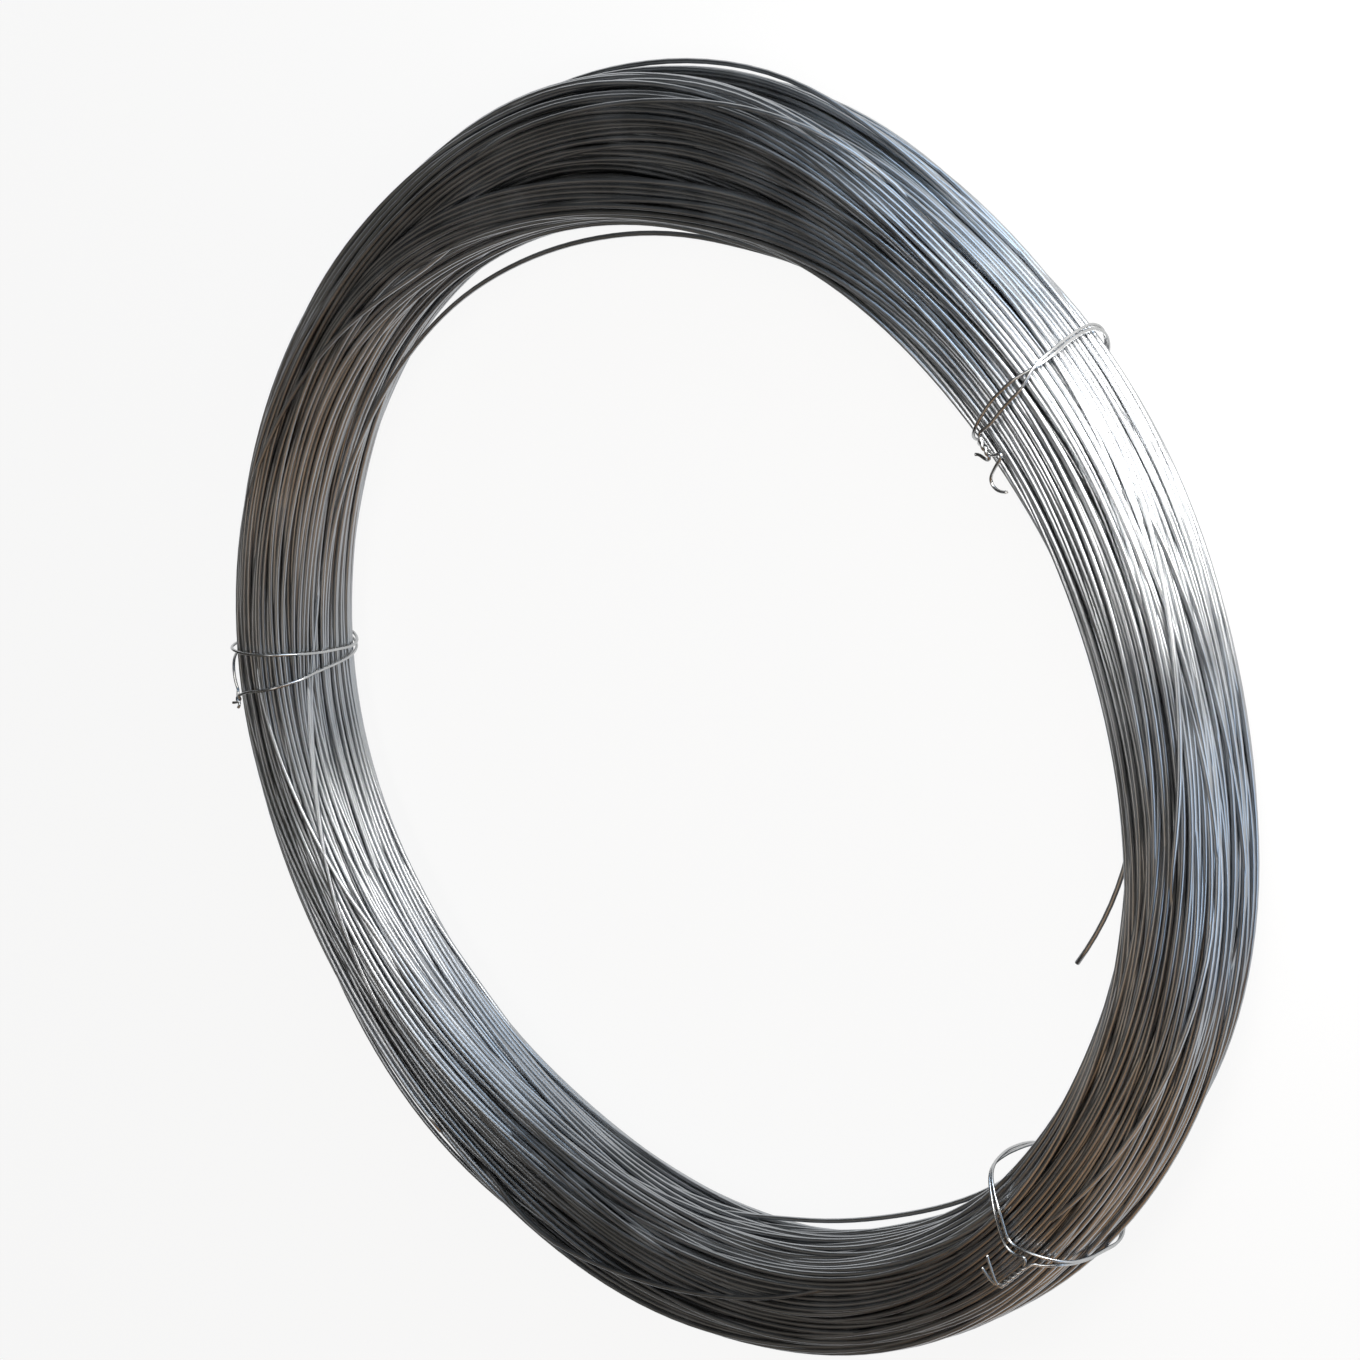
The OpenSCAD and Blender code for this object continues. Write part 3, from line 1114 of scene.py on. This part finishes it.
@dataclass
class Studio:
    """Floor, lights and camera. Lengths are in metres."""

    lights: tuple[SoftBox, ...]
    floor_half: float = 6.0
    floor_colour: str = "#EDEDEB"
    floor_roughness: float = 0.9
    floor_glow: float = 0.9
    world_colour: str = "#FFFFFF"
    world_strength: float = 0.03
    elevation: float = 44.97
    roll: float = 111.51
    distance: float = 2.066
    aim_height: float = 0.0328
    # Focal length, width of the frame and place of the ring's middle in it, in the photograph's pixels.
    focal: float = 4339.6
    frame: float = 1360.0
    centre: tuple[float, float] = (706.0, 734.7)
    sensor_mm: float = 36.0
    clip_end: float = 50.0

    def build(self) -> None:
        """Make the floor, the world, the lights and the camera."""
        self._camera()
        self._floor()
        world = bpy.data.worlds.new("studio")
        world.use_nodes = True
        back = world.node_tree.nodes["Background"]
        back.inputs["Color"].default_value = linear(self.world_colour)
        back.inputs["Strength"].default_value = self.world_strength
        bpy.context.scene.world = world
        for light in self.lights:
            light.build()
        bpy.context.scene.view_settings.view_transform = "Standard"

    def _floor(self) -> None:
        """Lay the plain pale floor."""
        mesh = bpy.data.meshes.new("floor")
        shape = bmesh.new()
        bmesh.ops.create_grid(shape, x_segments=1, y_segments=1, size=self.floor_half)
        shape.to_mesh(mesh)
        shape.free()
        floor = bpy.data.objects.new("floor", mesh)
        bpy.context.scene.collection.objects.link(floor)
        # Matt white paper: it nears white to the eye and in the metal, and still takes a soft shadow.
        material, tree, shader = new_material("matt studio paper")
        shader.inputs["Base Color"].default_value = linear(self.floor_colour)
        shader.inputs["Roughness"].default_value = self.floor_roughness
        path = add_node(tree, "ShaderNodeLightPath", {}, {})
        seen = path.outputs["Is Camera Ray"]
        for name in ("Is Glossy Ray", "Is Transmission Ray"):
            both = add_node(tree, "ShaderNodeMath", {"operation": "ADD", "use_clamp": True}, {})
            tree.links.new(seen, both.inputs[0])
            tree.links.new(path.outputs[name], both.inputs[1])
            seen = both.outputs[0]
        share = add_node(tree, "ShaderNodeMath", {"operation": "MULTIPLY"}, {})
        tree.links.new(seen, share.inputs[0])
        share.inputs[1].default_value = self.floor_glow
        glow = add_node(tree, "ShaderNodeEmission", {"Strength": 1.0}, {})
        blend = add_node(tree, "ShaderNodeMixShader", {}, {"Fac": share.outputs[0]})
        tree.links.new(shader.outputs["BSDF"], blend.inputs[1])
        tree.links.new(glow.outputs["Emission"], blend.inputs[2])
        tree.links.new(blend.outputs["Shader"], tree.nodes["Material Output"].inputs["Surface"])
        mesh.materials.append(material)

    def _camera(self) -> None:
        """Set the camera at the photograph's angle: looking down, and rolled."""
        data = bpy.data.cameras.new("camera")
        data.sensor_width = self.sensor_mm
        data.lens = self.focal / self.frame * self.sensor_mm
        data.shift_x = (self.frame / 2 - self.centre[0]) / self.frame
        data.shift_y = (self.centre[1] - self.frame / 2) / self.frame
        data.clip_end = self.clip_end
        tilt = math.radians(self.elevation)
        back = Vector((0.0, -math.cos(tilt), math.sin(tilt)))
        right = Vector((1.0, 0.0, 0.0))
        up = back.cross(right)
        c = math.cos(math.radians(self.roll))
        s = math.sin(math.radians(self.roll))
        turn = Matrix((right * c - up * s, right * s + up * c, back)).transposed().to_4x4()
        camera = bpy.data.objects.new("camera", data)
        stand = back * self.distance + Vector((0.0, 0.0, self.aim_height))
        camera.matrix_world = Matrix.Translation(stand) @ turn
        bpy.context.scene.collection.objects.link(camera)
        bpy.context.scene.camera = camera


def main() -> None:
    """Build the coil, its ties and the studio."""
    logging.basicConfig(level=logging.INFO, format="%(name)s: %(message)s")
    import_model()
    studio = Studio(lights=(
        SoftBox("front_wide", (0.18, -0.64, 0.26), (0.0, -0.28, 0.03), (0.36, 0.5), 2.6, "#FFFAF4"),
        SoftBox("front_high", (0.19, -0.62, 0.85), (0.0, -0.28, 0.03), (0.28, 0.6), 2.3, "#FFFAF4"),
        SoftBox("front_low", (0.1, -0.64, 0.08), (0.0, -0.28, 0.03), (0.36, 0.15), 6.0, "#FFFAF4"),
        SoftBox("cool_left", (-0.42, -0.6, 0.09), (-0.1, -0.26, 0.03), (0.4, 0.15), 0.7, "#B4D2F4"),
        SoftBox("cool_right", (0.95, -0.95, 0.36), (0.0, -0.28, 0.03), (0.8, 0.66), 7.4, "#B8D4F0"),
        SoftBox("overhead", (0.3, -0.1, 2.0), (0.0, 0.0, 0.0), (0.4, 1.6), 7.0),
        SoftBox("high_left", (-0.9, 0.1, 1.7), (-0.2, 0.0, 0.03), (0.6, 0.8), 1.9, "#EED9BE"),
        SoftBox("warm_back", (0.0, 1.1, 1.2), (0.0, 0.2, 0.03), (1.4, 0.6), 0.55, "#E6D4BC"),
        SoftBox("warm_low", (-1.1, 0.12, 0.62), (-0.2, 0.0, 0.03), (0.9, 0.9), 2.0, "#E0B080"),
    ))
    studio.build()
    section = BundleSection()
    wire = Wire(diameter=2.5, bevel_steps=2)
    loose = (
        # Side, height, distance off the bundle, ring angle and reach of the turns that leave it.
        LooseRun(Side.INNER, 0.4, 26.5, 227.0, 26.0, 2.0, LooseShape.SPRUNG_END),
        LooseRun(Side.INNER, -1.0, 9.6, 8.0, 58.0),
        LooseRun(Side.OUTER, -9.0, 3.4, 329.0, 26.0),
        LooseRun(Side.INNER, -9.0, 6.5, 174.0, 26.0),
        # Ring angle and reach of the turns that cross over others, and the directions from and to.
        CrossingRun(79.0, 17.0, 164.0, 106.0),
        CrossingRun(86.0, 15.0, 146.0, 100.0),
        CrossingRun(81.0, 11.0, 100.0, 128.0),
        CrossingRun(257.0, 14.0, -18.0, 18.0),
        CrossingRun(262.0, 13.0, 62.0, 22.0),
        CrossingRun(333.0, 16.0, 30.0, 58.0),
        CrossingRun(30.0, 15.0, 118.0, 74.0),
        CrossingRun(152.0, 15.0, 60.0, 104.0),
        CrossingRun(222.0, 13.0, 70.0, 38.0),
    )
    winding = Winding(wire, section, loose)
    zinc = ZincFinish("galvanised high-tensile wire", "#9A9DA0", "#B4B7BA", smooth=0.28, rough=0.38)
    CoilBundle(winding, zinc).build()
    soft = ZincFinish("soft zinc-coated tie wire", "#A3A5A6", "#C9CACA", smooth=0.22, rough=0.34)
    tie_material = soft.material()
    tie_wire = Wire(diameter=1.5, bevel_steps=4)
    for shape in (right_tie, left_tie, low_tie):
        shape(tie_wire, section).build(tie_material)


if __name__ == "__main__":
    main()
